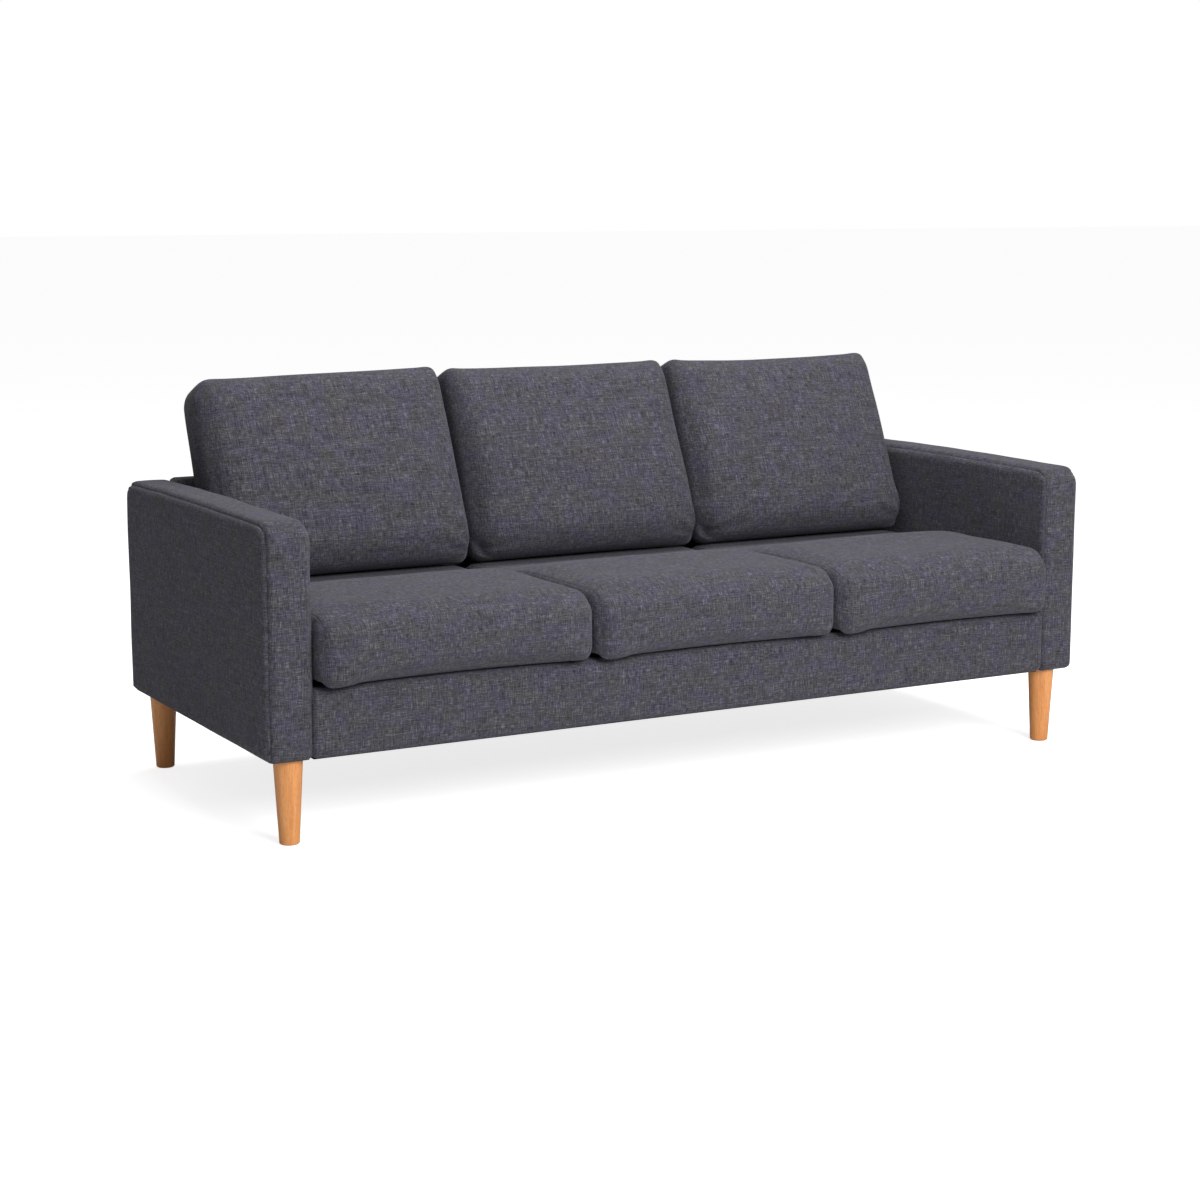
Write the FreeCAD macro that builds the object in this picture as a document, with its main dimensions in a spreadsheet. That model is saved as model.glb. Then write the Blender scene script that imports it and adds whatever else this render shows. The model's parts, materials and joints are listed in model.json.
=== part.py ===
import FreeCAD, Part
import Sketcher
import math
import os
import re

# Three-seat sofa on tapered wooden legs. Millimetres, +Z up, X across the seats, +Y to the back.
# The origin is on the floor under the middle of the sofa. Left and right are as seen from the front.

DRIVING_SIZES = [
    # the whole sofa
    ("overall_width", 1880),
    ("body_depth", 785),
    ("cushion_proud", 28),
    ("ground_gap", 163),
    ("arm_height", 606),
    ("arm_width", 94),
    ("deck_height", 295),
    ("back_height", 606),
    ("back_top_depth", 55),
    ("back_rake", 24),
    # upholstery layers and the room between them
    ("cloth", 1.5),
    ("foam_wrap", 10),
    ("fit_gap", 0.3),
    ("deck_thick", 2),
    ("dust_thick", 1),
    ("dust_inset", 12),
    # corner rounding
    ("arm_front_round", 40),
    ("arm_rear_round", 30),
    ("arm_low_round", 12),
    ("edge_round", 7),
    ("back_round", 20),
    ("rail_round", 10),
    # timber
    ("post_deep", 70),
    ("back_post_wide", 35),
    ("top_rail_tall", 45),
    ("base_rail_tall", 40),
    ("board", 25),
    ("centre_rail_tall", 70),
    ("lower_rail_deep", 45),
    ("lower_rail_up", 40),
    ("lower_rail_down", 60),
    # legs and their fixings
    ("leg_top", 56),
    ("leg_foot", 38),
    ("leg_side_inset", 56),
    ("leg_end_inset", 45),
    ("leg_edge", 2),
    ("bolt_size", 8),
    ("bolt_play", 0.2),
    ("bolt_reach", 32),
    ("insert_size", 12),
    # bolts and brackets that hold the seat and back to the arms
    ("head_size", 13),
    ("head_tall", 5),
    ("bracket_steel", 3),
    ("bracket_reach", 62),
    ("bracket_tall", 34),
    ("bracket_lift", 4),
    ("bolt_first", 25),
    ("bolt_second", 48),
    ("back_bolt_inset", 45),
    ("back_bolt_low", 260),
    ("back_bolt_high", 500),
    # springs, clips and straps
    ("spring_wire", 3.5),
    ("spring_bar", 28),
    ("spring_spread", 160),
    ("clip_steel", 1.2),
    ("clip_wide", 20),
    ("clip_tall", 34),
    ("clip_lip", 7),
    ("strap_wide", 50),
    ("strap_thick", 1.5),
    # loose cushions
    ("cushion_gap", 1),
    ("seat_thick", 145),
    ("seat_round", 34),
    ("seat_rear_room", 10),
    ("pillow_gap", 10),
    ("pillow_thick", 170),
    ("pillow_top", 830),
    ("pillow_round", 45),
    ("pillow_bevel", 45),
    ("cushion_side_round", 28),
    # zips in the cushion covers
    ("zip_long", 440),
    ("tape_wide", 28),
    ("tape_thick", 1.2),
    ("teeth_wide", 6),
    ("teeth_tall", 1.6),
    ("slider_long", 11),
    ("slider_wall", 1.3),
    ("pull_wide", 6),
    ("pull_long", 24),
    ("zip_end", 5),
]

SPRING_TURNS = 24
ARM_SIDES = {"left": -1, "right": 1}
SEATS = {"left": -1, "centre": 0, "right": 1}
TOLERANCE = 1e-4

doc = FreeCAD.newDocument("SofaWithWoodenLegs")
sheet = doc.addObject("Spreadsheet::Sheet", "Sizes")
for row, (alias, value) in enumerate(DRIVING_SIZES, start=1):
    sheet.set(f"A{row}", alias)
    sheet.set(f"B{row}", str(value))
    sheet.setAlias(f"B{row}", alias)
doc.recompute()

ALIASES = [alias for alias, value in DRIVING_SIZES]
ALIAS_PATTERN = re.compile(r"\b(" + "|".join(ALIASES) + r")\b")
sub_parts = []


def linked(formula):
    """A formula in sheet words, written as FreeCAD's expression engine reads it."""
    return ALIAS_PATTERN.sub(r"Sizes.\1", str(formula))


def value_of(formula):
    result = sheet.evalExpression(linked(formula))
    return float(getattr(result, "Value", result))


def bind(item, prop, formula):
    item.setExpression(prop, linked(formula))


def place(item, x="0", y="0", z="0", turn_axis=None, turn="0"):
    if turn_axis is not None:
        item.Placement = FreeCAD.Placement(FreeCAD.Vector(), FreeCAD.Rotation(turn_axis, value_of(turn)))
        bind(item, "Placement.Rotation.Angle", turn)
    bind(item, "Placement.Base.x", x)
    bind(item, "Placement.Base.y", y)
    bind(item, "Placement.Base.z", z)
    return item


def keep(item, label):
    """Name a finished sub-part and put it on the list of those to write."""
    item.Label = label
    sub_parts.append(item)
    return item


def block(name, x, y, z, long, deep, tall):
    box = doc.addObject("Part::Box", name)
    bind(box, "Length", long)
    bind(box, "Width", deep)
    bind(box, "Height", tall)
    return place(box, x, y, z)


def rod(name, radius, long, x, y, z, turn_axis=None, turn="0"):
    cylinder = doc.addObject("Part::Cylinder", name)
    bind(cylinder, "Radius", radius)
    bind(cylinder, "Height", long)
    return place(cylinder, x, y, z, turn_axis, turn)


def group(name, items):
    bundle = doc.addObject("Part::Compound", name)
    bundle.Links = items
    return bundle


def cut(name, base, tool):
    piece = doc.addObject("Part::Cut", name)
    piece.Base = base
    piece.Tool = tool
    return piece


def fuse(name, items):
    piece = doc.addObject("Part::MultiFuse", name)
    piece.Shapes = items
    return piece


def origin_plane(body, role):
    return [item for item in body.Origin.OriginFeatures if item.Role == role][0]


def closed_sketch(body, name, role, points):
    """A polygon whose every corner is held at two formulas from the sheet."""
    sketch = body.newObject("Sketcher::SketchObject", name)
    sketch.AttachmentSupport = [(origin_plane(body, role), "")]
    sketch.MapMode = "FlatFace"
    spots = [FreeCAD.Vector(value_of(across), value_of(up), 0) for across, up in points]
    count = len(spots)
    for i in range(count):
        sketch.addGeometry(Part.LineSegment(spots[i], spots[(i + 1) % count]))
    for i in range(count):
        sketch.addConstraint(Sketcher.Constraint("Coincident", i, 2, (i + 1) % count, 1))
    for i, (across, up) in enumerate(points):
        for kind, formula, held in (("DistanceX", across, spots[i].x), ("DistanceY", up, spots[i].y)):
            index = sketch.addConstraint(Sketcher.Constraint(kind, -1, 1, i, 1, held))
            sketch.renameConstraint(index, f"{kind}{i}")
            bind(sketch, f"Constraints.{kind}{i}", formula)
    return sketch


def round_edges(body, name, base, radius, chosen):
    """Fillet the edges of base for which chosen(edge) is true."""
    names = [f"Edge{i}" for i, edge in enumerate(base.Shape.Edges, start=1) if chosen(edge)]
    fillet = body.newObject("PartDesign::Fillet", name)
    fillet.Base = (base, names)
    bind(fillet, "Radius", radius)
    doc.recompute()
    return fillet


def prism(name, outline, x, wide, side_round=None):
    """A bar of one outline in Y and Z, run across from x. An outline corner is (y, z, radius)."""
    body = doc.addObject("PartDesign::Body", name)
    sketch = closed_sketch(body, name + "_outline", "YZ_Plane", [(y, z) for y, z, radius in outline])
    pad = body.newObject("PartDesign::Pad", name + "_pad")
    pad.Profile = sketch
    bind(pad, "Length", wide)
    place(body, x)
    doc.recompute()
    feature = pad
    for radius in sorted({radius for y, z, radius in outline if radius}):
        spots = [(value_of(y), value_of(z)) for y, z, r in outline if r == radius]

        def on_corner(edge):
            box = edge.BoundBox
            if max(box.YLength, box.ZLength) > TOLERANCE:
                return False
            return any(math.hypot(box.YMin - y, box.ZMin - z) < TOLERANCE for y, z in spots)

        feature = round_edges(body, f"{name}_round_{len(body.Group)}", feature, radius, on_corner)
    if side_round:
        feature = round_edges(body, name + "_side_round", feature, side_round,
                              lambda edge: edge.BoundBox.XLength < TOLERANCE)
    return body


def less(size, taken):
    return f"({size}) - ({taken})"


def shell(name, outline_of, x, wide, side_round):
    """A closed cloth skin: the outline's bar less the same bar one cloth thickness smaller."""
    outer = prism(name + "_outer", outline_of("0"), x, wide, side_round)
    inner = prism(name + "_inner", outline_of("cloth"), f"{x} + cloth", less(wide, "2 * cloth"),
                  less(side_round, "cloth") if side_round else None)
    return cut(name + "_skin", outer, inner)


# ---- places worked out from the driving sizes

FRONT = "((cushion_proud - body_depth) / 2)"
REAR = "((cushion_proud + body_depth) / 2)"
INNER = "(overall_width / 2 - arm_width)"
WRAP = "(cloth + fit_gap + foam_wrap)"
CORE = "(cloth + 2 * fit_gap + foam_wrap)"
FLOOR_OF_TIMBER = "(ground_gap + cloth + fit_gap)"
ARM_TOP_OF_TIMBER = f"(arm_height - {CORE})"
KNEE = f"({REAR} - back_top_depth - (back_height - deck_height) * tan(back_rake))"
BACK_CORE = "(cloth + 3 * fit_gap + foam_wrap + strap_thick)"
FRONT_RAIL_BACK = f"({FRONT} + {CORE} + board)"
REAR_RAIL_FRONT = f"({KNEE} - fit_gap - board)"
BRACKET_Z = f"({FLOOR_OF_TIMBER} + bracket_lift)"
BRACKET_MIDDLE_Z = f"({BRACKET_Z} + bracket_tall / 2)"
BACK_POST_INNER = f"({INNER} - 2 * fit_gap - cloth - back_post_wide)"
SEAT_PITCH = f"(2 * {INNER} / 3)"
SEAT_WIDE = f"((2 * {INNER} - 4 * cushion_gap) / 3)"
PILLOW_WIDE = f"({SEAT_PITCH} - pillow_gap)"
SEAT_REAR = f"({KNEE} - seat_rear_room)"
SEAT_BOTTOM = "(deck_height + fit_gap)"
SEAT_TOP = f"({SEAT_BOTTOM} + seat_thick)"
PILLOW_BOTTOM = f"({SEAT_TOP} + fit_gap)"
WIRE_Z = "(deck_height - deck_thick - 2 * fit_gap - clip_steel - spring_wire / 2)"
WIRE_OFF_RAIL = "(2 * fit_gap + clip_steel + spring_wire / 2)"


def rake_y(z, inset):
    """Y on the raked front of the back, at height z, inset into the back by that much."""
    return (f"({REAR} - back_top_depth + ({inset}) / cos(back_rake)"
            f" - (back_height - ({z})) * tan(back_rake))")


# ---- arms

def arm_outline(inset, bottom=None):
    low = bottom or f"ground_gap + ({inset})"
    low_round = None if bottom else less("arm_low_round", inset)
    top = f"arm_height - ({inset})"
    return [
        (f"{FRONT} + ({inset})", low, low_round),
        (f"{REAR} - ({inset})", low, low_round),
        (f"{REAR} - ({inset})", top, less("arm_rear_round", inset)),
        (f"{FRONT} + ({inset})", top, less("arm_front_round", inset)),
    ]


def arm_x(side, from_inner, wide):
    """Low X of something that starts from_inner beyond the arm's inner face."""
    if side > 0:
        return f"{INNER} + ({from_inner})"
    return f"-{INNER} - ({from_inner}) - ({wide})"


def inside_x(side, short_of_arm, wide):
    """Low X of something on the seat's side of an arm that stops short_of_arm before its inner face."""
    if side > 0:
        return f"{INNER} - ({short_of_arm}) - ({wide})"
    return f"-{INNER} + ({short_of_arm})"


def bolt_spots():
    """Y, Z and the start distance from the arm's inner face of each bolt that enters an arm."""
    bracket_start = "fit_gap + bracket_steel"
    post_start = "2 * fit_gap + cloth + back_post_wide"
    back_y = f"{REAR} - back_bolt_inset"
    return [
        (f"{FRONT_RAIL_BACK} + bolt_first", BRACKET_MIDDLE_Z, bracket_start),
        (f"{FRONT_RAIL_BACK} + bolt_second", BRACKET_MIDDLE_Z, bracket_start),
        (f"{REAR_RAIL_FRONT} - bolt_first", BRACKET_MIDDLE_Z, bracket_start),
        (f"{REAR_RAIL_FRONT} - bolt_second", BRACKET_MIDDLE_Z, bracket_start),
        (back_y, "back_bolt_low", post_start),
        (back_y, "back_bolt_high", post_start),
    ]


def bolt_along_x(name, side, y, z, start, radius, long):
    """A rod that enters the arm sideways, starting this far inside the arm's inner face."""
    x = f"{side} * ({INNER} - ({start}))"
    return rod(name, radius, long, x, y, z, FreeCAD.Vector(0, side, 0), "90")


def bolt_grip(start):
    return f"({start}) + {CORE} + bolt_reach"


def side_bolt_holes(word, side):
    return group(f"{word}_bolt_holes", [
        bolt_along_x(f"{word}_bolt_hole_{i}", side, y, z, start, "(bolt_size + bolt_play) / 2",
                     bolt_grip(start) + " + fit_gap")
        for i, (y, z, start) in enumerate(bolt_spots())
    ])


def leg_spots():
    for end, y in (("front", f"{FRONT} + leg_end_inset"), ("rear", f"{REAR} - leg_end_inset")):
        for word, side in ARM_SIDES.items():
            yield f"{end}_{word}", f"{side} * (overall_width / 2 - leg_side_inset)", y


def leg_holes(name, radius):
    """The four upright holes above the legs, from below the cloth to the top of the threaded insert."""
    return group(name, [
        rod(f"{name}_{spot}", radius, "cloth + 2 * fit_gap + bolt_reach", x, y, "ground_gap - fit_gap")
        for spot, x, y in leg_spots()
    ])


def make_arm(word, side, bolt_holes, bolt_passages, insert_holes):
    wide = "arm_width"
    skin = shell(f"{word}_arm_cover", arm_outline, arm_x(side, "0", wide), wide, "edge_round")
    skin = cut(f"{word}_arm_cover_for_bolts", skin, bolt_holes)
    keep(cut(f"{word}_arm_cover_part", skin, bolt_passages), f"{word}_arm_cover")

    foam_wide = "arm_width - 2 * (cloth + fit_gap)"
    foam = prism(f"{word}_arm_foam_outer", arm_outline("cloth + fit_gap"),
                 arm_x(side, "cloth + fit_gap", foam_wide), foam_wide, "edge_round - cloth - fit_gap")
    hollow_wide = f"arm_width - 2 * {WRAP}"
    hollow = prism(f"{word}_arm_foam_hollow", arm_outline(WRAP, "ground_gap"),
                   arm_x(side, WRAP, hollow_wide), hollow_wide)
    foam = cut(f"{word}_arm_foam", foam, hollow)
    keep(cut(f"{word}_arm_padding_part", foam, bolt_holes), f"{word}_arm_padding")

    wide = f"(arm_width - 2 * {CORE})"
    x = arm_x(side, CORE, wide)
    post_foot = f"{FLOOR_OF_TIMBER} + base_rail_tall"
    front_y = f"{FRONT} + {CORE}"
    rear_y = f"{REAR} - {CORE}"
    front_post = prism(f"{word}_arm_front_post_part", [
        (front_y, post_foot, None),
        (f"{front_y} + post_deep", post_foot, None),
        (f"{front_y} + post_deep", ARM_TOP_OF_TIMBER, None),
        (front_y, ARM_TOP_OF_TIMBER, less("arm_front_round", CORE)),
    ], x, wide)
    keep(front_post, f"{word}_arm_front_post")
    rear_post = prism(f"{word}_arm_rear_post_whole", [
        (f"{rear_y} - post_deep", post_foot, None),
        (rear_y, post_foot, None),
        (rear_y, ARM_TOP_OF_TIMBER, less("arm_rear_round", CORE)),
        (f"{rear_y} - post_deep", ARM_TOP_OF_TIMBER, None),
    ], x, wide)
    keep(cut(f"{word}_arm_rear_post_part", rear_post, bolt_holes), f"{word}_arm_rear_post")
    inside = f"body_depth - 2 * {CORE} - 2 * post_deep"
    keep(block(f"{word}_arm_top_rail_part", x, f"{front_y} + post_deep",
               f"{ARM_TOP_OF_TIMBER} - top_rail_tall", wide, inside, "top_rail_tall"),
         f"{word}_arm_top_rail")
    base = block(f"{word}_arm_base_rail_whole", x, front_y, FLOOR_OF_TIMBER, wide,
                 f"body_depth - 2 * {CORE}", "base_rail_tall")
    base = cut(f"{word}_arm_base_rail_for_bolts", base, bolt_holes)
    keep(cut(f"{word}_arm_base_rail_part", base, insert_holes), f"{word}_arm_base_rail")


# ---- legs

def make_leg(spot, x, y):
    bore = "(bolt_size + bolt_play) / 2"
    body = doc.addObject("PartDesign::Body", f"leg_{spot}_part")
    sketch = closed_sketch(body, f"leg_{spot}_outline", "XZ_Plane", [
        ("0", "0"),
        ("leg_foot / 2 - leg_edge", "0"),
        ("leg_foot / 2", "leg_edge"),
        ("leg_top / 2", "ground_gap"),
        (bore, "ground_gap"),
        (bore, "ground_gap - bolt_reach - fit_gap"),
        ("0", "ground_gap - bolt_reach - fit_gap"),
    ])
    turned = body.newObject("PartDesign::Revolution", f"leg_{spot}_turned")
    turned.Profile = sketch
    turned.ReferenceAxis = (sketch, ["V_Axis"])
    turned.Angle = 360
    keep(place(body, x, y), f"leg_{spot}")


def make_leg_fixings():
    bolts = []
    inserts = []
    for spot, x, y in leg_spots():
        bolts.append(rod(f"leg_bolt_{spot}", "bolt_size / 2", f"{FLOOR_OF_TIMBER} - ground_gap + 2 * bolt_reach",
                         x, y, "ground_gap - bolt_reach"))
        outer = rod(f"insert_outer_{spot}", "insert_size / 2", "bolt_reach", x, y, FLOOR_OF_TIMBER)
        bore = rod(f"insert_bore_{spot}", "(bolt_size + bolt_play) / 2", "bolt_reach", x, y, FLOOR_OF_TIMBER)
        inserts.append(cut(f"insert_{spot}", outer, bore))
    keep(group("leg_bolts_group", bolts), "leg_bolts")
    keep(group("leg_inserts_group", inserts), "leg_threaded_inserts")


# ---- bolts and brackets between seat, back and arms

def make_side_bolts():
    bolts = []
    for word, side in ARM_SIDES.items():
        for i, (y, z, start) in enumerate(bolt_spots()):
            name = f"{word}_side_bolt_{i}"
            shank = bolt_along_x(name + "_shank", side, y, z, start, "bolt_size / 2", bolt_grip(start))
            head = doc.addObject("Part::Prism", name + "_head")
            head.Polygon = 6
            bind(head, "Circumradius", "head_size / 2")
            bind(head, "Height", "head_tall")
            place(head, f"{side} * ({INNER} - ({start}) - head_tall)", y, z, FreeCAD.Vector(0, side, 0), "90")
            bolts.append(fuse(name, [shank, head]))
    keep(group("side_bolts_group", bolts), "side_bolts")


def make_brackets(holes):
    brackets = []
    for word, side in ARM_SIDES.items():
        ends = (("front", FRONT_RAIL_BACK, FRONT_RAIL_BACK),
                ("rear", f"{REAR_RAIL_FRONT} - bracket_steel", f"{REAR_RAIL_FRONT} - bracket_reach"))
        for end, rail_y, arm_y in ends:
            name = f"bracket_{end}_{word}"
            on_rail = block(name + "_on_rail", inside_x(side, "fit_gap", "bracket_reach"),
                            rail_y, BRACKET_Z, "bracket_reach", "bracket_steel", "bracket_tall")
            on_arm = block(name + "_on_arm", inside_x(side, "fit_gap", "bracket_steel"),
                           arm_y, BRACKET_Z, "bracket_steel", "bracket_reach", "bracket_tall")
            brackets.append(cut(name, fuse(name + "_angle", [on_rail, on_arm]), holes[word]))
    keep(group("corner_brackets_group", brackets), "corner_brackets")


# ---- seat base

def make_seat_base():
    x = f"-{INNER} + fit_gap"
    wide = f"2 * ({INNER} - fit_gap)"
    depth = f"{CORE} + board"
    timber_foot = FLOOR_OF_TIMBER
    keep(block("front_rail_part", x, f"{FRONT} + {CORE}", timber_foot, wide, "board",
               f"deck_height - {CORE} - {timber_foot}"), "seat_front_rail")
    keep(block("rear_rail_part", x, REAR_RAIL_FRONT, timber_foot, wide, "board",
               f"deck_height - deck_thick - fit_gap - {timber_foot}"), "seat_rear_rail")
    keep(block("centre_rail_part", "-board / 2", FRONT_RAIL_BACK, timber_foot, "board",
               f"{REAR_RAIL_FRONT} - {FRONT_RAIL_BACK}", "centre_rail_tall"), "seat_centre_rail")

    skin_in = "(cloth + fit_gap)"
    keep(prism("front_rail_padding_part", [
        (f"{FRONT} + {skin_in}", FLOOR_OF_TIMBER, None),
        (f"{FRONT} + {WRAP}", FLOOR_OF_TIMBER, None),
        (f"{FRONT} + {WRAP}", f"deck_height - {WRAP}", None),
        (f"{FRONT} + {depth}", f"deck_height - {WRAP}", None),
        (f"{FRONT} + {depth}", f"deck_height - {skin_in}", None),
        (f"{FRONT} + {skin_in}", f"deck_height - {skin_in}", less("rail_round", skin_in)),
    ], x, wide), "front_rail_padding")
    keep(prism("front_rail_cover_part", [
        (FRONT, "ground_gap", None),
        (f"{FRONT} + {depth}", "ground_gap", None),
        (f"{FRONT} + {depth}", "ground_gap + cloth", None),
        (f"{FRONT} + cloth", "ground_gap + cloth", None),
        (f"{FRONT} + cloth", "deck_height - cloth", less("rail_round", "cloth")),
        (f"{FRONT} + {depth}", "deck_height - cloth", None),
        (f"{FRONT} + {depth}", "deck_height", None),
        (FRONT, "deck_height", "rail_round"),
    ], x, wide), "front_rail_cover")
    deck_y = f"{FRONT_RAIL_BACK} + fit_gap"
    keep(block("deck_cloth_part", x, deck_y, "deck_height - deck_thick", wide,
               f"{KNEE} - fit_gap - ({deck_y})", "deck_thick"), "seat_deck_cloth")
    keep(block("dust_cover_part", x, f"{FRONT} + dust_inset", "ground_gap - dust_thick",
               wide, "body_depth - 2 * dust_inset", "dust_thick"), "dust_cover")


def web_x():
    """X of the springs and straps: three to each seat."""
    for seat in SEATS.values():
        for step in (-1, 0, 1):
            yield f"{seat} * {SEAT_PITCH} + {step} * spring_spread"


def make_springs():
    """Zigzag wire springs from the front rail to the rear rail."""
    first = value_of(f"{FRONT_RAIL_BACK} + {WIRE_OFF_RAIL}")
    last = value_of(f"{REAR_RAIL_FRONT} - {WIRE_OFF_RAIL}")
    turn_radius = (last - first) / SPRING_TURNS / 2
    half_bar = value_of("spring_bar") / 2
    wire_radius = value_of("spring_wire") / 2
    height = value_of(WIRE_Z)
    edges = []
    for i in range(SPRING_TURNS + 1):
        way = 1 if i % 2 == 0 else -1
        y = first + 2 * turn_radius * i
        start = FreeCAD.Vector(-way * half_bar, y, 0)
        end = FreeCAD.Vector(way * half_bar, y, 0)
        edges.append(Part.LineSegment(start, end).toShape())
        if i < SPRING_TURNS:
            crown = FreeCAD.Vector(way * (half_bar + turn_radius), y + turn_radius, 0)
            beyond = FreeCAD.Vector(way * half_bar, y + 2 * turn_radius, 0)
            edges.append(Part.Arc(end, crown, beyond).toShape())
    path = Part.Wire(edges)
    section = Part.Wire(Part.makeCircle(wire_radius, FreeCAD.Vector(-half_bar, first, 0), FreeCAD.Vector(1, 0, 0)))
    spring = path.makePipeShell([section], True, True)
    springs = []
    for x in web_x():
        springs.append(spring.translated(FreeCAD.Vector(value_of(x), 0, height)))
    feature = doc.addObject("Part::Feature", "seat_springs_part")
    feature.Shape = Part.makeCompound(springs)
    feature.Placement = FreeCAD.Placement()
    keep(feature, "seat_springs")


def make_clips():
    """Folded steel hooks that hold each spring's end bars to the rails."""
    foot = "deck_height - deck_thick - fit_gap - clip_tall"
    top = "deck_height - deck_thick - fit_gap"
    reach = f"(2 * {WIRE_OFF_RAIL})"
    clips = []
    for rail, rail_y, way in (("front", FRONT_RAIL_BACK, 1), ("rear", REAR_RAIL_FRONT, -1)):
        for i, x in enumerate(web_x()):
            clips.append(prism(f"clip_{rail}_{i}", [
                (rail_y, foot, None),
                (f"{rail_y} + {way} * clip_steel", foot, None),
                (f"{rail_y} + {way} * clip_steel", f"{top} - clip_steel", None),
                (f"{rail_y} + {way} * ({reach} - clip_steel)", f"{top} - clip_steel", None),
                (f"{rail_y} + {way} * ({reach} - clip_steel)", f"{top} - clip_lip", None),
                (f"{rail_y} + {way} * {reach}", f"{top} - clip_lip", None),
                (f"{rail_y} + {way} * {reach}", top, None),
                (rail_y, top, None),
            ], f"{x} - clip_wide / 2", "clip_wide"))
    keep(group("spring_clips_group", clips), "spring_clips")


# ---- back

def back_outline(inset, bottom=None):
    low = bottom or f"ground_gap + ({inset})"
    top = f"back_height - ({inset})"
    knee_y = f"{KNEE} + ({inset})"
    corner = less("back_round", inset)
    return [
        (f"{REAR} - ({inset})", low, None),
        (f"{REAR} - ({inset})", top, corner),
        (f"{REAR} - back_top_depth + ({inset}) * tan(45 - back_rake / 2)", top, corner),
        (knee_y, f"deck_height - ({inset}) * tan(back_rake / 2)", None),
        (knee_y, low, None),
    ]


def square_cornered(outline):
    return [(y, z, None) for y, z, radius in outline]


def make_back(bolt_holes):
    x = f"-{INNER} + fit_gap"
    wide = f"2 * ({INNER} - fit_gap)"
    skin = shell("back_cover", back_outline, x, wide, None)
    keep(cut("back_cover_part", skin, bolt_holes), "back_cover")

    foam = prism("back_foam_outer", back_outline("cloth + fit_gap"), f"{x} + cloth + fit_gap",
                 f"{wide} - 2 * (cloth + fit_gap)")
    hollow = prism("back_foam_hollow", square_cornered(back_outline(WRAP, "ground_gap")), x, wide)
    keep(cut("back_padding_part", foam, hollow), "back_padding")

    post_outline = square_cornered(back_outline(BACK_CORE, FLOOR_OF_TIMBER))
    for word, side in ARM_SIDES.items():
        post_x = inside_x(side, "2 * fit_gap + cloth", "back_post_wide")
        post = prism(f"back_post_{word}_whole", post_outline, post_x, "back_post_wide")
        keep(cut(f"back_post_{word}_part", post, bolt_holes), f"back_post_{word}")

    between_x = f"-{BACK_POST_INNER}"
    between = f"2 * {BACK_POST_INNER}"
    top = f"(back_height - {BACK_CORE})"
    rail_foot = f"({top} - top_rail_tall)"
    rear = f"{REAR} - {BACK_CORE}"
    keep(prism("back_top_rail_part", [
        (rake_y(rail_foot, BACK_CORE), rail_foot, None),
        (rear, rail_foot, None),
        (rear, top, None),
        (rake_y(top, BACK_CORE), top, None),
    ], between_x, between), "back_top_rail")
    knee_z = f"(deck_height - {BACK_CORE} * tan(back_rake / 2))"
    low_top = "(deck_height + lower_rail_up)"
    low_foot = "(deck_height - lower_rail_down)"
    keep(prism("back_lower_rail_part", [
        (f"{KNEE} + {BACK_CORE}", low_foot, None),
        (f"{KNEE} + {BACK_CORE} + lower_rail_deep", low_foot, None),
        (f"{KNEE} + {BACK_CORE} + lower_rail_deep", low_top, None),
        (rake_y(low_top, BACK_CORE), low_top, None),
        (f"{KNEE} + {BACK_CORE}", knee_z, None),
    ], between_x, between), "back_lower_rail")

    straps = []
    strap_front = f"({WRAP} + fit_gap)"
    strap_rear = f"({WRAP} + fit_gap + strap_thick)"
    for i, strap_x in enumerate(web_x()):
        straps.append(prism(f"back_strap_{i}", [
            (rake_y("deck_height", strap_front), "deck_height", None),
            (rake_y("deck_height", strap_rear), "deck_height", None),
            (rake_y(top, strap_rear), top, None),
            (rake_y(top, strap_front), top, None),
        ], f"{strap_x} - strap_wide / 2", "strap_wide"))
    keep(group("back_straps_group", straps), "back_webbing")


# ---- loose cushions

def seat_outline(inset):
    corner = less("seat_round", inset)
    y_low = f"{FRONT} - cushion_proud + ({inset})"
    y_high = f"{SEAT_REAR} - ({inset})"
    z_low = f"{SEAT_BOTTOM} + ({inset})"
    z_high = f"{SEAT_TOP} - ({inset})"
    return [(y_low, z_low, corner), (y_high, z_low, corner), (y_high, z_high, corner), (y_low, z_high, corner)]


BEVEL_ANGLE = "(45 - back_rake / 2)"


def pillow_outline(inset):
    """Leaning cushion: flat on the seat, flat on the raked back, bevelled where those two meet."""
    front_in = "(-fit_gap - pillow_thick)"
    heel_y = rake_y(PILLOW_BOTTOM, "-fit_gap")
    top_front_y = rake_y("pillow_top", front_in)
    sin_rake = "sin(back_rake)"
    cos_rake = "cos(back_rake)"
    bevel_sum = f"(1 + sin(back_rake + {BEVEL_ANGLE}))"
    corners = [
        (rake_y(PILLOW_BOTTOM, front_in), PILLOW_BOTTOM, "tan(45 + back_rake / 2)", "1"),
        (f"{heel_y} - pillow_bevel", PILLOW_BOTTOM, f"(-tan({BEVEL_ANGLE} / 2))", "1"),
        (f"{heel_y} + pillow_bevel * {sin_rake}", f"{PILLOW_BOTTOM} + pillow_bevel * {cos_rake}",
         f"(-({cos_rake} + sin({BEVEL_ANGLE})) / {bevel_sum})",
         f"(({sin_rake} + cos({BEVEL_ANGLE})) / {bevel_sum})"),
        (f"{top_front_y} + pillow_thick * {cos_rake}", f"pillow_top - pillow_thick * {sin_rake}",
         f"(-{cos_rake} - {sin_rake})", f"({sin_rake} - {cos_rake})"),
        (top_front_y, "pillow_top", f"({cos_rake} - {sin_rake})", f"(-{sin_rake} - {cos_rake})"),
    ]
    corner = less("pillow_round", inset)
    return [(f"{y} + ({inset}) * {y_way}", f"{z} + ({inset}) * {z_way}", corner)
            for y, z, y_way, z_way in corners]


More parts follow.
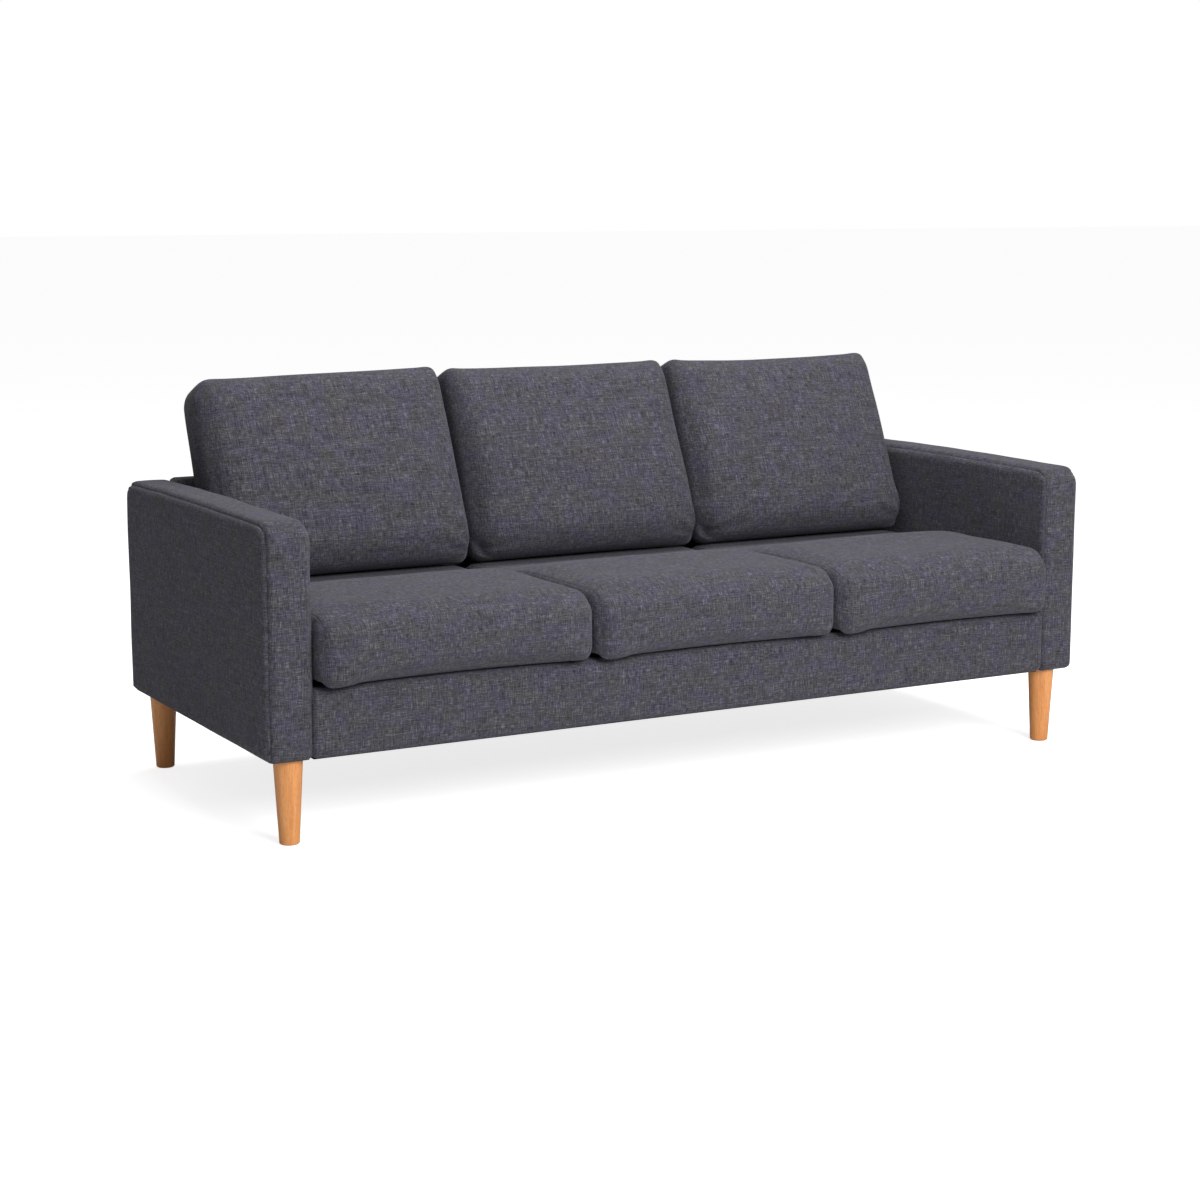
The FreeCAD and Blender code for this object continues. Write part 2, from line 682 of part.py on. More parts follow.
def make_cushion(name, outline_of, x, wide):
    keep(shell(name + "_cover", outline_of, x, wide, "cushion_side_round"), name + "_cover")
    clear = "(cloth + fit_gap)"
    keep(prism(name + "_core_part", outline_of(clear), f"{x} + {clear}", f"{wide} - 2 * {clear}",
               less("cushion_side_round", clear)), name + "_core")


def make_zip(name, middle_x, y, z, turn):
    """Tape with a raised row of teeth, and its slider at the closed end with the pull lying flat."""
    half_tape = "tape_wide / 2"
    half_teeth = "teeth_wide / 2"
    teeth_top = "tape_thick + teeth_tall"
    tape = prism(name + "_tape", [
        ("0", f"-{half_tape}", None),
        ("tape_thick", f"-{half_tape}", None),
        ("tape_thick", f"-{half_teeth}", None),
        (teeth_top, f"-{half_teeth}", None),
        (teeth_top, half_teeth, None),
        ("tape_thick", half_teeth, None),
        ("tape_thick", half_tape, None),
        ("0", half_tape, None),
    ], "0", "zip_long")
    tape_x = f"{middle_x} - zip_long / 2"
    across = FreeCAD.Vector(1, 0, 0)
    keep(place(group(name + "_group", [tape]), tape_x, y, z, across, turn), name)

    low = "tape_thick + fit_gap"
    high = f"{teeth_top} + fit_gap + slider_wall"
    channel = "(teeth_wide / 2 + fit_gap)"
    outside = "(teeth_wide / 2 + fit_gap + slider_wall)"
    saddle = prism(name + "_saddle", [
        (low, f"-{outside}", None),
        (low, f"-{channel}", None),
        (f"{teeth_top} + fit_gap", f"-{channel}", None),
        (f"{teeth_top} + fit_gap", channel, None),
        (low, channel, None),
        (low, outside, None),
        (high, outside, None),
        (high, f"-{outside}", None),
    ], "0", "slider_long")
    pull = block(name + "_pull", "(slider_long - pull_wide) / 2", high, "-pull_long", "pull_wide",
                 "slider_wall", f"pull_long + {half_teeth}")
    slider = fuse(name + "_slider_fused", [saddle, pull])
    keep(place(slider, f"{tape_x} + zip_end", y, z, across, turn), name + "_slider")


def make_cushions():
    for word, seat in SEATS.items():
        seat_middle = f"{seat} * {SEAT_PITCH}"
        seat_x = f"{seat} * ({SEAT_WIDE} + cushion_gap) - {SEAT_WIDE} / 2"
        make_cushion(f"{word}_seat_cushion", seat_outline, seat_x, SEAT_WIDE)
        make_zip(f"{word}_seat_zip", seat_middle, SEAT_REAR, f"{SEAT_BOTTOM} + seat_thick / 2", "0")

        pillow_x = f"{seat_middle} - {PILLOW_WIDE} / 2"
        make_cushion(f"{word}_back_cushion", pillow_outline, pillow_x, PILLOW_WIDE)
        heel_y = rake_y(PILLOW_BOTTOM, "-fit_gap")
        bevel_y = f"{heel_y} - pillow_bevel * (1 - sin(back_rake)) / 2"
        bevel_z = f"{PILLOW_BOTTOM} + pillow_bevel * cos(back_rake) / 2"
        make_zip(f"{word}_back_zip", seat_middle, bevel_y, bevel_z, "-45 - back_rake / 2")


# ---- build, check and write

def build():
    holes = {word: side_bolt_holes(word, side) for word, side in ARM_SIDES.items()}
    both_sides = group("both_sides_bolt_holes", list(holes.values()))
    bolt_passages = leg_holes("leg_bolt_passages", "(bolt_size + bolt_play) / 2")
    insert_holes = leg_holes("leg_insert_holes", "(insert_size + bolt_play) / 2")
    for word, side in ARM_SIDES.items():
        make_arm(word, side, holes[word], bolt_passages, insert_holes)
    for spot, x, y in leg_spots():
        make_leg(spot, x, y)
    make_leg_fixings()
    make_side_bolts()
    make_brackets(holes)
    make_seat_base()
    make_springs()
    make_clips()
    make_back(both_sides)
    make_cushions()


def check():
    doc.recompute()
    faults = [item.Name for item in doc.Objects if {"Invalid", "Error"} & set(item.State)]
    for item in sub_parts:
        if item.Shape.isNull() or not item.Shape.isValid() or not item.Shape.Solids:
            faults.append(item.Label)
    labels = [item.Label for item in sub_parts]
    if len(set(labels)) != len(labels):
        faults.append("two sub-parts share a label")
    if faults:
        raise RuntimeError(f"these did not build: {faults}")


def write():
    os.makedirs("parts", exist_ok=True)
    for item in sub_parts:
        item.Shape.exportStep(f"parts/{item.Label}.step")


build()
check()
write()
print(len(sub_parts), "sub-parts written")
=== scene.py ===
import json
import math

import bmesh
import bpy
from mathutils import Matrix, Vector, noise


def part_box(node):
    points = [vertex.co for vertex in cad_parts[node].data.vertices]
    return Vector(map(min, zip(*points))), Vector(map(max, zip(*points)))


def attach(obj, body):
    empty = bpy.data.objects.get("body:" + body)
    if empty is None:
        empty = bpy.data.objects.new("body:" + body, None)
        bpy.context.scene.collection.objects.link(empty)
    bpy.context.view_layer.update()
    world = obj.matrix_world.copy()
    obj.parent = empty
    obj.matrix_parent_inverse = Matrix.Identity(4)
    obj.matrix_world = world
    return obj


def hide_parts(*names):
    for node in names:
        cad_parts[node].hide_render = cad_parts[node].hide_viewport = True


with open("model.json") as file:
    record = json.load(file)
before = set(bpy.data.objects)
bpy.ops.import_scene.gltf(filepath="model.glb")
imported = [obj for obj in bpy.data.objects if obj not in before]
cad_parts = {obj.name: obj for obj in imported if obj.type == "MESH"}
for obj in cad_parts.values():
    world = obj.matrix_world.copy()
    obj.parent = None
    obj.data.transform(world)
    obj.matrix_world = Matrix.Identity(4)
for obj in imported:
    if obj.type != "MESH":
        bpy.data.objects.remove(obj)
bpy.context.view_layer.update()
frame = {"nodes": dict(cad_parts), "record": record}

# Three-seat sofa on tapered wooden legs. Metres, +Z up, X across the seats, +Y to the back.

WORDS = {"left": -1, "centre": 0, "right": 1}
BACK_RAKE = math.radians(24)
MM = 0.001
NEAR = MM / 10

# How far the seat tops give under the back cushions.
SEAT_SINK = 29 * MM
# The joins between the seat cushions stand this far to the right of even thirds.
SEAT_SHIFT = 12 * MM
# Each back cushion's left and right end.
BACK_CUSHION_ENDS = {"left": (-0.838, -0.2695), "centre": (-0.2685, 0.2875), "right": (0.2885, 0.844)}
# The cushions' cloth starts as squares of this size, and is subdivided once.
CLOTH_STEP = 10 * MM
SPRING_PITCH = 160 * MM


# ---- finishes

def new_finish(name, roughness, specular=0.5):
    finish = bpy.data.materials.new(name)
    finish.use_nodes = True
    shader = finish.node_tree.nodes["Principled BSDF"]
    shader.inputs["Roughness"].default_value = roughness
    shader.inputs["Specular IOR Level"].default_value = specular
    return finish, shader


def add(finish, kind, sockets=None, **settings):
    """Adds one node. Sockets are plain values or the outputs of other nodes."""
    node = finish.node_tree.nodes.new("ShaderNode" + kind)
    for setting, value in settings.items():
        setattr(node, setting, value)
    for key, value in (sockets or {}).items():
        if isinstance(value, bpy.types.NodeSocket):
            finish.node_tree.links.new(value, node.inputs[key])
        else:
            node.inputs[key].default_value = value
    return node


def sums(finish, operation, first, second):
    return add(finish, "Math", {0: first, 1: second}, operation=operation).outputs[0]


def shares(finish, *parts):
    """Adds fields up, each with its weight: (field, weight), (field, weight) and so on."""
    total = None
    for field, weight in parts:
        weighted = sums(finish, "MULTIPLY", field, weight)
        total = weighted if total is None else sums(finish, "ADD", total, weighted)
    return total


def streaks(finish, where, per_metre, detail=2.0, roughness=0.5):
    """Soft random streaks: per_metre says how closely they lie along each direction."""
    stretched = add(finish, "VectorMath", {0: where, 1: per_metre}, operation="MULTIPLY").outputs[0]
    sockets = {"Vector": stretched, "Scale": 1.0, "Detail": detail, "Roughness": roughness}
    return add(finish, "TexNoise", sockets).outputs["Fac"]


def shades(finish, factor, stops):
    ramp = add(finish, "ValToRGB", {"Fac": factor})
    while len(ramp.color_ramp.elements) < len(stops):
        ramp.color_ramp.elements.new(0.5)
    for element, (position, colour) in zip(ramp.color_ramp.elements, stops):
        element.position = position
        element.color = (*colour, 1)
    return ramp.outputs["Color"]


def blended(finish, factor, first, second, way="MIX"):
    sockets = {"Fac": factor, "Color1": first, "Color2": second}
    return add(finish, "MixRGB", sockets, blend_type=way).outputs[0]


def raised(finish, shader, height, distance, strength=1.0):
    bump = add(finish, "Bump", {"Height": height, "Distance": distance, "Strength": strength})
    finish.node_tree.links.new(bump.outputs["Normal"], shader.inputs["Normal"])


def colour_with(finish, shader, colour):
    finish.node_tree.links.new(colour, shader.inputs["Base Color"])


def yarn_lengthwise(finish, where, pitch, slub):
    """Yarns that run up the cloth: shade changes quickly across them and slowly along them."""
    return streaks(finish, where, (1 / pitch, 1 / slub, 0), 1.5, 0.5)


def yarn_crosswise(finish, where, pitch, slub):
    return streaks(finish, where, (1 / slub, 1 / pitch, 0), 1.5, 0.5)


def charcoal_weave():
    """Heathered plain weave: a dark ground with pale grey and violet-grey yarns and short slubs both ways."""
    pitch = 1.65 * MM
    finish, shader = new_finish("charcoal_weave", 0.92, 0.2)
    shader.inputs["Sheen Weight"].default_value = 0.12
    shader.inputs["Sheen Roughness"].default_value = 0.5
    shader.inputs["Sheen Tint"].default_value = (0.7, 0.68, 0.76, 1)
    where = add(finish, "UVMap", uv_map="weave").outputs["UV"]
    upright = yarn_lengthwise(finish, where, pitch, 15 * MM)
    across = yarn_crosswise(finish, where, pitch, 12 * MM)
    pale = sums(finish, "MAXIMUM", upright, across)
    deep = sums(finish, "MINIMUM", upright, across)
    thread = shares(finish, (pale, 0.56), (deep, 0.44))
    long_upright = yarn_lengthwise(finish, where, 2.2 * MM, 80 * MM)
    long_across = yarn_crosswise(finish, where, 3.6 * MM, 70 * MM)
    long_yarns = sums(finish, "MULTIPLY", sums(finish, "ADD", long_upright, long_across), 0.5)
    clouds = streaks(finish, where, (40, 55, 0), 2.0, 0.5)
    yarn_mix = shares(finish, (thread, 0.64), (long_yarns, 0.28), (clouds, 0.08))
    colour = shades(finish, yarn_mix, [
        (0.36, (0.013, 0.013, 0.016)),
        (0.46, (0.048, 0.047, 0.054)),
        (0.54, (0.082, 0.080, 0.093)),
        (0.66, (0.200, 0.196, 0.220)),
    ])
    warm_or_cool = streaks(finish, where, (20, 26, 0), 2.0, 0.55)
    tint = shades(finish, warm_or_cool, [(0.38, (1.0, 0.99, 0.94)), (0.62, (0.99, 0.96, 1.14))])
    colour_with(finish, shader, blended(finish, 1.0, colour, tint, "MULTIPLY"))
    raised(finish, shader, thread, 0.6 * MM, 0.8)
    return finish


def oiled_beech():
    """Warm orange-tan beech, its grain running up the leg, with short dark flecks."""
    finish, shader = new_finish("oiled_beech", 0.42, 0.5)
    shader.inputs["Coat Weight"].default_value = 0.15
    shader.inputs["Coat Roughness"].default_value = 0.3
    where = add(finish, "TexCoord").outputs["Object"]
    bands = streaks(finish, where, (70, 70, 3.0), 3.0, 0.55)
    fine = streaks(finish, where, (420, 420, 14), 2.0, 0.6)
    flecks = streaks(finish, where, (1300, 1300, 110), 1.0, 0.5)
    grain = shares(finish, (bands, 0.6), (fine, 0.4))
    colour = shades(finish, grain, [
        (0.30, (0.66, 0.243, 0.070)),
        (0.50, (0.84, 0.345, 0.105)),
        (0.70, (0.93, 0.450, 0.160)),
    ])
    marks = shades(finish, flecks, [(0.58, (1, 1, 1)), (0.72, (0.62, 0.52, 0.42))])
    colour_with(finish, shader, blended(finish, 0.7, colour, marks, "MULTIPLY"))
    raised(finish, shader, fine, 0.15 * MM, 0.4)
    return finish


def sawn_pine():
    finish, shader = new_finish("sawn_pine", 0.75, 0.3)
    where = add(finish, "TexCoord").outputs["Object"]
    bands = streaks(finish, where, (6, 60, 60), 3.0, 0.6)
    fine = streaks(finish, where, (40, 500, 500), 2.0, 0.6)
    grain = shares(finish, (bands, 0.65), (fine, 0.35))
    colour_with(finish, shader, shades(finish, grain, [
        (0.32, (0.38, 0.22, 0.10)), (0.52, (0.62, 0.43, 0.24)), (0.70, (0.74, 0.57, 0.36))]))
    raised(finish, shader, fine, 0.3 * MM, 0.6)
    return finish


def cut_foam():
    finish, shader = new_finish("cut_foam", 0.95, 0.2)
    where = add(finish, "TexCoord").outputs["Object"]
    cells = add(finish, "TexVoronoi", {"Vector": where, "Scale": 900.0}).outputs["Distance"]
    yellowing = streaks(finish, where, (6, 6, 6), 3.0, 0.6)
    colour = shades(finish, yellowing, [(0.35, (0.66, 0.55, 0.33)), (0.65, (0.84, 0.78, 0.60))])
    pits = shades(finish, cells, [(0.05, (0.80, 0.78, 0.74)), (0.5, (1, 1, 1))])
    colour_with(finish, shader, blended(finish, 1.0, colour, pits, "MULTIPLY"))
    raised(finish, shader, cells, 0.5 * MM, 0.6)
    return finish


def plain_cloth(name, dark, light, pitch):
    """A plain thin cloth: fine square weave with slight clouding."""
    finish, shader = new_finish(name, 0.9, 0.25)
    shader.inputs["Sheen Weight"].default_value = 0.1
    where = add(finish, "TexCoord").outputs["Object"]
    close = 1 / pitch
    upright = streaks(finish, where, (close, close / 9, close), 2.0, 0.6)
    across = streaks(finish, where, (close / 9, close, close / 9), 2.0, 0.6)
    clouds = streaks(finish, where, (9, 9, 9), 3.0, 0.6)
    weave = sums(finish, "MULTIPLY", sums(finish, "ADD", upright, across), 0.5)
    mixed = shares(finish, (weave, 0.7), (clouds, 0.3))
    colour_with(finish, shader, shades(finish, mixed, [(0.36, dark), (0.64, light)]))
    raised(finish, shader, weave, 0.3 * MM, 0.7)
    return finish


def striped_webbing():
    """Jute strap: close ribs across it and fine fibres."""
    finish, shader = new_finish("striped_webbing", 0.9, 0.2)
    where = add(finish, "TexCoord").outputs["Object"]
    ribs = add(finish, "TexWave", {"Vector": where, "Scale": 110.0, "Distortion": 1.5, "Detail": 1.0},
               bands_direction="Z").outputs["Fac"]
    fibres = streaks(finish, where, (600, 600, 60), 2.0, 0.6)
    mixed = shares(finish, (ribs, 0.4), (fibres, 0.6))
    jute = shades(finish, mixed, [(0.25, (0.16, 0.11, 0.06)), (0.75, (0.42, 0.33, 0.22))])
    colour_with(finish, shader, jute)
    raised(finish, shader, ribs, 0.4 * MM, 0.6)
    return finish


def bare_steel(name, dark, light, roughness):
    """Drawn or plated steel: fine scratches, smudges and a little dulling."""
    finish, shader = new_finish(name, roughness)
    shader.inputs["Metallic"].default_value = 1.0
    where = add(finish, "TexCoord").outputs["Object"]
    scratches = streaks(finish, where, (900, 120, 900), 2.0, 0.6)
    smudges = streaks(finish, where, (25, 25, 25), 3.0, 0.6)
    mixed = shares(finish, (scratches, 0.5), (smudges, 0.5))
    colour_with(finish, shader, shades(finish, mixed, [(0.35, dark), (0.65, light)]))
    worn = sums(finish, "ADD", sums(finish, "MULTIPLY", smudges, 0.25), roughness - 0.1)
    finish.node_tree.links.new(worn, shader.inputs["Roughness"])
    raised(finish, shader, scratches, 0.05 * MM, 0.5)
    return finish


CLOTH = charcoal_weave()
FINISHES = {
    "upholstery_cloth": CLOTH,
    "foam": cut_foam(),
    "frame_timber": sawn_pine(),
    "leg_beech": oiled_beech(),
    "deck_cloth": plain_cloth("deck_cloth", (0.030, 0.030, 0.034), (0.085, 0.085, 0.095), 1.2 * MM),
    "dust_cloth": plain_cloth("dust_cloth", (0.012, 0.012, 0.013), (0.035, 0.035, 0.038), 0.9 * MM),
    "webbing": striped_webbing(),
    "spring_steel": bare_steel("spring_steel", (0.16, 0.15, 0.15), (0.36, 0.36, 0.37), 0.42),
    "zinc_steel": bare_steel("zinc_steel", (0.46, 0.47, 0.48), (0.72, 0.73, 0.75), 0.35),
    "zip_tape": plain_cloth("zip_tape", (0.022, 0.022, 0.028), (0.075, 0.075, 0.092), 0.7 * MM),
    "zip_metal": bare_steel("zip_metal", (0.05, 0.05, 0.055), (0.13, 0.13, 0.14), 0.4),
}
for subpart in frame["record"]["subparts"]:
    node = frame["nodes"][subpart["node"]]
    node.data.materials.clear()
    node.data.materials.append(FINISHES[subpart["material_slot"]])


# ---- upholstered forms

def even_block(low, high, step):
    """A closed box of even quads."""
    bm = bmesh.new()
    bmesh.ops.create_cube(bm, size=1)
    bmesh.ops.scale(bm, vec=high - low, verts=bm.verts)
    bmesh.ops.translate(bm, vec=(low + high) / 2, verts=bm.verts)
    for axis in range(3):
        along = [edge for edge in bm.edges
                 if abs(edge.verts[0].co[axis] - edge.verts[1].co[axis]) > MM]
        cuts = round((high - low)[axis] / step) - 1
        bmesh.ops.subdivide_edges(bm, edges=along, cuts=cuts, use_grid_fill=True)
    return bm


def lay_out_cloth(bm, low, high, shift):
    """Each panel's weave in metres: the band runs on from the underside over the front, top and rear."""
    weave = bm.loops.layers.uv.new("weave")
    bm.normal_update()
    tall, deep = high.z - low.z, high.y - low.y
    for face in bm.faces:
        side = max(range(3), key=lambda axis: abs(face.normal[axis]))
        ahead = face.normal[side] > 0
        for loop in face.loops:
            place = loop.vert.co - low
            if side == 0:
                flat = (place.y + (0.31 if ahead else 0.0), place.z + 1.3)
            elif side == 1:
                flat = (place.x, tall + deep + (tall - place.z) if ahead else place.z)
            else:
                flat = (place.x, tall + place.y if ahead else -place.y)
            loop[weave].uv = (flat[0] + shift, flat[1] + 0.6 * shift)


def mark_seams(bm, is_seam):
    for edge in bm.edges:
        first, second = edge.verts
        edge.seam = is_seam(first.co, second.co)


def rounded(place, low, high, radius):
    """Rounds every edge of a box to one radius."""
    inner = Vector([min(max(place[axis], low[axis] + radius), high[axis] - radius) for axis in range(3)])
    out = place - inner
    return inner + out.normalized() * radius


def turned_corners(place, low, high, radii, axes=(1, 2)):
    """Rounds an outline's corners. radii go low-low, low-high, high-low, high-high along the two axes."""
    for ways, radius in zip(((-1, -1), (-1, 1), (1, -1), (1, 1)), radii):
        middles = [high[axis] - radius if way > 0 else low[axis] + radius for axis, way in zip(axes, ways)]
        over = [(place[axis] - middle) * way / radius for axis, way, middle in zip(axes, ways, middles)]
        if min(over) > 0:
            shrink = max(over) / math.hypot(*over)
            turned = place.copy()
            for axis, way, middle, share in zip(axes, ways, middles, over):
                turned[axis] = middle + way * radius * share * shrink
            return turned
    return place


def share_of(place, low, high):
    """Where a point lies in its form: from -1 to 1 along each axis."""
    middle, half = (low + high) / 2, (high - low) / 2
    return Vector([(place[axis] - middle[axis]) / half[axis] for axis in range(3)])


def softness(place, seed, wave, height):
    """Slow dents and swells of padding under cloth."""
    return noise.noise(place / wave + Vector((seed * 7.3, seed * 3.1, seed * 5.7))) * height


def hump(share):
    """One in the middle of a panel, nought at its edges. share runs from -1 to 1."""
    return max(0.0, 1 - share * share)


def swelling(distance, middle, reach):
    """A soft lobe along an edge: one at its middle, fading out over its reach."""
    return math.exp(-((distance - middle) / reach) ** 2)


def make_object(bm, name, finish):
    mesh = bpy.data.meshes.new(name)
    bm.to_mesh(mesh)
    bm.free()
    mesh.materials.append(finish)
    piece = bpy.data.objects.new(name, mesh)
    bpy.context.scene.collection.objects.link(piece)
    return piece


def take_modifiers(piece):
    """Makes the modified shape the piece's own mesh."""
    depsgraph = bpy.context.evaluated_depsgraph_get()
    shaped = bpy.data.meshes.new_from_object(piece.evaluated_get(depsgraph), preserve_all_data_layers=True,
                                             depsgraph=depsgraph)
    piece.modifiers.clear()
    piece.data = shaped
    shaped.name = piece.name


def soften(bm, rounds):
    """Rubs off the hard turns where two rounded edges meet."""
    for _round in range(rounds):
        bmesh.ops.smooth_vert(bm, verts=bm.verts[:], factor=0.5,
                              use_axis_x=True, use_axis_y=True, use_axis_z=True)


def sew_seams(bm, half_width, depth):
    """Draws the cloth in along its seams."""
    sewn = [edge for edge in bm.edges if edge.seam]
    made = bmesh.ops.bevel(bm, geom=sewn, offset=half_width, offset_type="OFFSET", segments=2,
                           profile=0.5, affect="EDGES", material=-1, clamp_overlap=True)
    bm.normal_update()
    strip = set(made["faces"])
    for vert in made["verts"]:
        if all(face in strip for face in vert.link_faces):
            vert.co -= vert.normal * depth


def finish_upholstery(piece, body, nodes):
    for polygon in piece.data.polygons:
        polygon.use_smooth = True
    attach(piece, body)
    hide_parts(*nodes)


def between_panels(low, high):
    """The seams round both end panels of a form that runs along X."""
    def is_seam(first, second):
        for edge_x in (low.x, high.x):
            at_end = abs(first.x - edge_x) < NEAR and abs(second.x - edge_x) < NEAR
            if at_end and on_outline(first, low, high) and on_outline(second, low, high):
                return same_side(first, second, low, high)
        return False
    return is_seam


def on_outline(place, low, high):
    return (abs(place.y - low.y) < NEAR or abs(place.y - high.y) < NEAR
            or abs(place.z - low.z) < NEAR or abs(place.z - high.z) < NEAR)


def same_side(first, second, low, high):
    return any(abs(first[axis] - edge) < NEAR and abs(second[axis] - edge) < NEAR
               for axis in (1, 2) for edge in (low[axis], high[axis]))


# ---- arms

def make_arm(word, side):
    low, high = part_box(f"{word}_arm_cover")
    low, high = Vector(low), Vector(high)
    bm = even_block(low, high, 9 * MM)
    lay_out_cloth(bm, low, high, 0.4 + side * 0.17)
    mark_seams(bm, between_panels(low, high))
    for vert in bm.verts:
        share = share_of(vert.co, low, high)
        place = rounded(vert.co, low, high, 8 * MM)
        outer, inner = 18 * MM, 9 * MM
        plan = (outer, outer, inner, inner) if side < 0 else (inner, inner, outer, outer)
        place = turned_corners(place, low, high, plan, axes=(0, 1))
        place = turned_corners(place, low, high, (10 * MM, 17 * MM, 10 * MM, 17 * MM), axes=(0, 2))
        place = turned_corners(place, low, high, (10 * MM, 40 * MM, 10 * MM, 36 * MM))
        top = max(0.0, share.z) ** 6
        place.z += top * (3.5 * hump(share.y) + 2.0 * hump(share.x) - 2.5) * MM
        flat_side = hump(share.y ** 3) * hump(share.z ** 3)
        place.x += share.x ** 3 * (2.4 * flat_side - 1.2) * MM * (1 if share.x * side > 0 else 0.4)
        front = max(0.0, -share.y) ** 8
        place.y -= front * (2.0 * hump(share.x) - 1.5) * MM
        place += Vector((share.x, 0, max(0.0, share.z))) * softness(place, side, 0.12, 1.3 * MM)
        vert.co = place
    sew_seams(bm, 0.9 * MM, 0.5 * MM)
    piece = make_object(bm, f"{word}_arm", CLOTH)
    finish_upholstery(piece, "frame", [f"{word}_arm_cover", f"{word}_arm_padding"])


# ---- seat front and back of the frame

def make_front_rail():
    low, high = (Vector(corner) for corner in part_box("front_rail_cover"))
    into_arm = Vector((4 * MM, 0, 0))
    low, high = low - into_arm, high + into_arm
    bm = even_block(low, high, 9 * MM)
    lay_out_cloth(bm, low, high, 1.9)
    mark_seams(bm, between_panels(low, high))
    for vert in bm.verts:
        share = share_of(vert.co, low, high)
        place = rounded(vert.co, low, high, 6 * MM)
        place = turned_corners(place, low, high, (12 * MM, 12 * MM, 8 * MM, 8 * MM))
        place.y += max(0.0, -share.y) * (2.0 - 2.5 * hump(share.z) + softness(place, 4, 0.10, 1.5)) * MM
        vert.co = place
    sew_seams(bm, 1.2 * MM, 1.0 * MM)
    piece = make_object(bm, "front_rail", CLOTH)
    finish_upholstery(piece, "frame", ["front_rail_cover", "front_rail_padding"])


def make_back():
    low, high = (Vector(corner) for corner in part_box("back_cover"))
    deck_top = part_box("seat_deck_cloth")[1].z
    bm = even_block(low, high, 11 * MM)
    bmesh.ops.bisect_plane(bm, geom=bm.verts[:] + bm.edges[:] + bm.faces[:],
                           plane_co=(0, 0, deck_top), plane_no=(0, 0, 1))
    lay_out_cloth(bm, low, high, 2.7)
    mark_seams(bm, between_panels(low, high))
    for vert in bm.verts:
        share = share_of(vert.co, low, high)
        place = rounded(vert.co, low, high, 9 * MM)
        place = turned_corners(place, low, high, (12 * MM, 16 * MM, 14 * MM, 22 * MM))
        lean = max(0.0, place.z - deck_top) * math.tan(BACK_RAKE)
        ahead = (high.y - place.y) / (high.y - low.y)
        place.y += lean * ahead
        rear = max(0.0, share.y)
        place.y -= rear * (3.0 - 3.0 * hump(share.x ** 3) * hump(share.z ** 3)) * MM
        place.z += max(0.0, share.z) ** 6 * (1.5 * hump(share.y) - 1.5) * MM
        place.y += share.y * softness(place, 9, 0.15, 1.6 * MM)
        vert.co = place
    sew_seams(bm, 1.6 * MM, 1.4 * MM)
    piece = make_object(bm, "back_frame_cover", CLOTH)
    finish_upholstery(piece, "frame", ["back_cover", "back_padding"])


# ---- thin cloths of the frame

def stretch_cloth(name, node, slot, sag):
    """A thin cloth stapled all round. sag(x, y) is how far it hangs, from 0 at the staples."""
    low, high = (Vector(corner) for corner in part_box(node))
    size = high - low
    bm = bmesh.new()
    step = 12 * MM
    bmesh.ops.create_grid(bm, x_segments=round(size.x / step), y_segments=round(size.y / step), size=0.5)
    for vert in bm.verts:
        share = vert.co * 2
        place = Vector((vert.co.x * size.x, vert.co.y * size.y, 0)) + (low + high) / 2
        edge = min(1.0, (1 - abs(share.x)) * 12, (1 - abs(share.y)) * 6)
        place.z -= edge * (sag(place.x, share) + abs(softness(place, 31, 0.16, 2.5 * MM)))
        vert.co = place
    piece = make_object(bm, name, FINISHES[slot])
    thickness = piece.modifiers.new("Thickness", "SOLIDIFY")
    thickness.thickness = 0.6 * MM
    thickness.offset = -1
    take_modifiers(piece)
    for polygon in piece.data.polygons:
        polygon.use_smooth = True
    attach(piece, "frame")
    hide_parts(node)


def make_deck_cloth():
    """The black cloth under the seat cushions. It rests on the springs and dips a little between them."""
    def sag(x, share):
        return 1.8 * MM * (0.5 - 0.5 * math.cos(2 * math.pi * x / SPRING_PITCH)) * hump(share.y)

    stretch_cloth("deck_cloth", "seat_deck_cloth", "deck_cloth", sag)


def make_dust_cover():
    """The thin black cloth stapled under the frame. It hangs a few millimetres in the middle."""
    def sag(x, share):
        return 5 * MM * hump(share.x) * hump(share.y)

    stretch_cloth("dust_cover_cloth", "dust_cover", "dust_cloth", sag)


# ---- loose cushions

def plump(piece, firmness, travel):
    """Fills the cover like a pressed cushion. Seams are held back, and no point moves further than travel."""
    start = [vert.co.copy() for vert in piece.data.vertices]
    held = piece.vertex_groups.new(name="held")
    sewn = {index for edge in piece.data.edges if edge.use_seam for index in edge.vertices}
    held.add(sorted(sewn), 0.7, "REPLACE")
    cloth = piece.modifiers.new("Filling", "CLOTH")
    cloth.settings.quality = 5
    cloth.settings.mass = 0.3
    cloth.settings.use_pressure = True
    cloth.settings.uniform_pressure_force = firmness
    cloth.settings.effector_weights.gravity = 0
    cloth.settings.vertex_group_mass = "held"
    cloth.settings.pin_stiffness = 0.6
    cloth.point_cache.frame_start = 1
    cloth.point_cache.frame_end = 20
    for step in range(1, 21):
        bpy.context.scene.frame_set(step)
    depsgraph = bpy.context.evaluated_depsgraph_get()
    swollen = [vert.co.copy() for vert in piece.evaluated_get(depsgraph).data.vertices]
    piece.modifiers.clear()
    piece.vertex_groups.clear()
    bpy.context.scene.frame_set(1)
    for vert, before, after in zip(piece.data.vertices, start, swollen):
        moved = after - before
        if moved.length > 1e-7:
            moved *= travel * math.tanh(moved.length / travel) / moved.length
        vert.co = before + moved


def subdivide_once(piece):
    smoother = piece.modifiers.new("Smoother", "SUBSURF")
    smoother.levels = smoother.render_levels = 1
    take_modifiers(piece)


